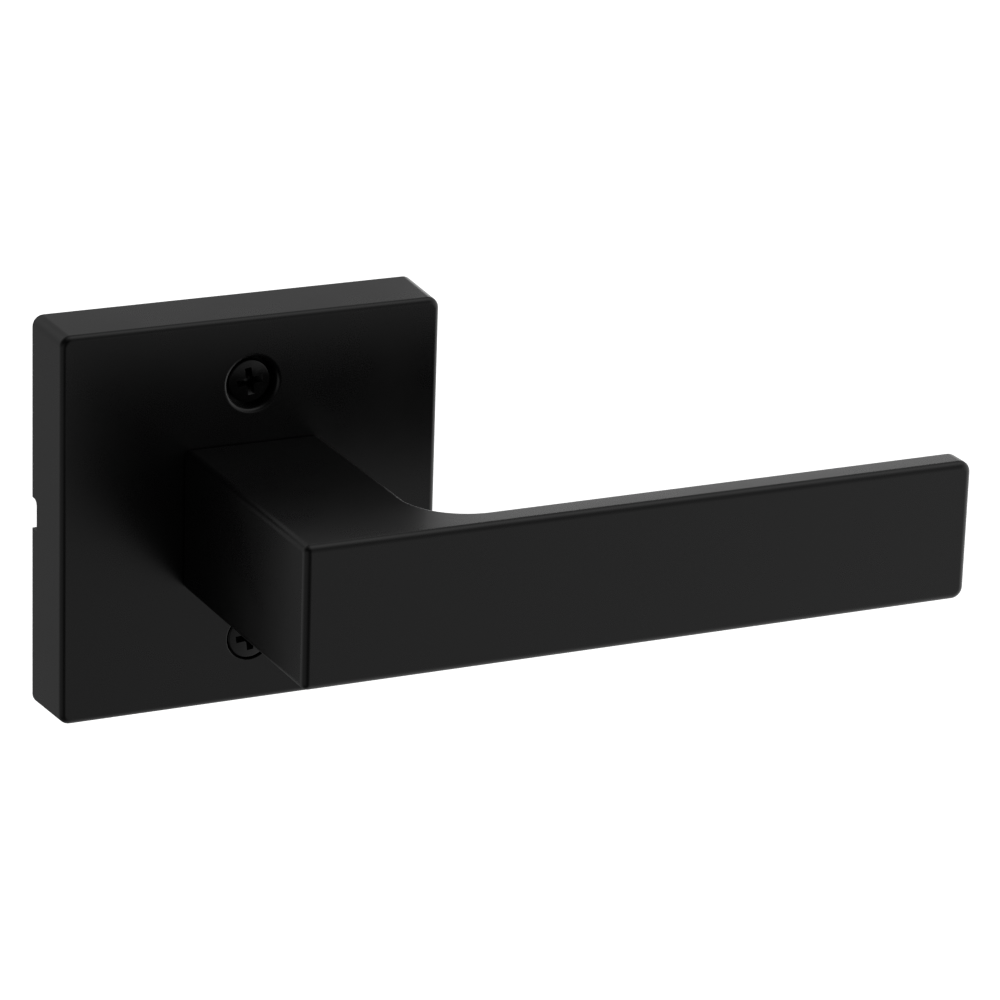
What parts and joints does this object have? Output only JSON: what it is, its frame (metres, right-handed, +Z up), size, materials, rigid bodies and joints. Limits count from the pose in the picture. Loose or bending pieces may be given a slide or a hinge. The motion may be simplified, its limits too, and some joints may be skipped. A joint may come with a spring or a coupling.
{
  "type": "door lever handle",
  "caption": "Square-rose door lever handle half-set: flat square-section lever on a square neck, sprung both ways, with exposed mounting screws and a square spindle.",
  "frame": {"origin": "on the spindle axis, in the plane of the door face that the rose and its plate stand on", "axes": "+Y along the spindle into the door, +Z up, +X along the lever from the neck to the tip"},
  "size_m": [0.1393, 0.1063, 0.0666],
  "materials": {
    "black_coat": "matte black powder coat on die-cast zinc",
    "black_screw": "black-coated steel",
    "plated_steel": "zinc-plated",
    "spring_steel": "bare, oiled",
    "bronze": "sintered",
    "nylon": "moulded natural nylon"
  },
  "bodies": {
    "rose": {"rose_cover": "black_coat", "mounting_plate": "plated_steel", "spring_cage": "plated_steel", "cage_cover": "plated_steel", "cage_rivets": "plated_steel", "hub_bushing": "nylon", "rear_bushing": "bronze", "spring_sleeve": "nylon", "return_spring": "spring_steel", "stop_bumpers": "nylon", "mounting_screws": "black_screw"},
    "lever": {"lever_handle": "black_coat", "lever_shank": "plated_steel", "lever_set_screw": "black_screw", "drive_cam": "plated_steel", "thrust_washer": "plated_steel", "wave_washer": "spring_steel", "retaining_ring": "spring_steel", "spindle": "plated_steel", "spindle_pin": "spring_steel"}
  },
  "joints": [
    {"name": "lever_turn", "type": "hinge", "parent": "rose", "child": "lever", "pos_m": [0, 0, 0], "axis": [0, 1, 0], "range_deg": [-45, 45], "stiffness_Nm_per_rad": 0.9, "springref_deg": -2.86, "deforming": ["return_spring"]}
  ]
}
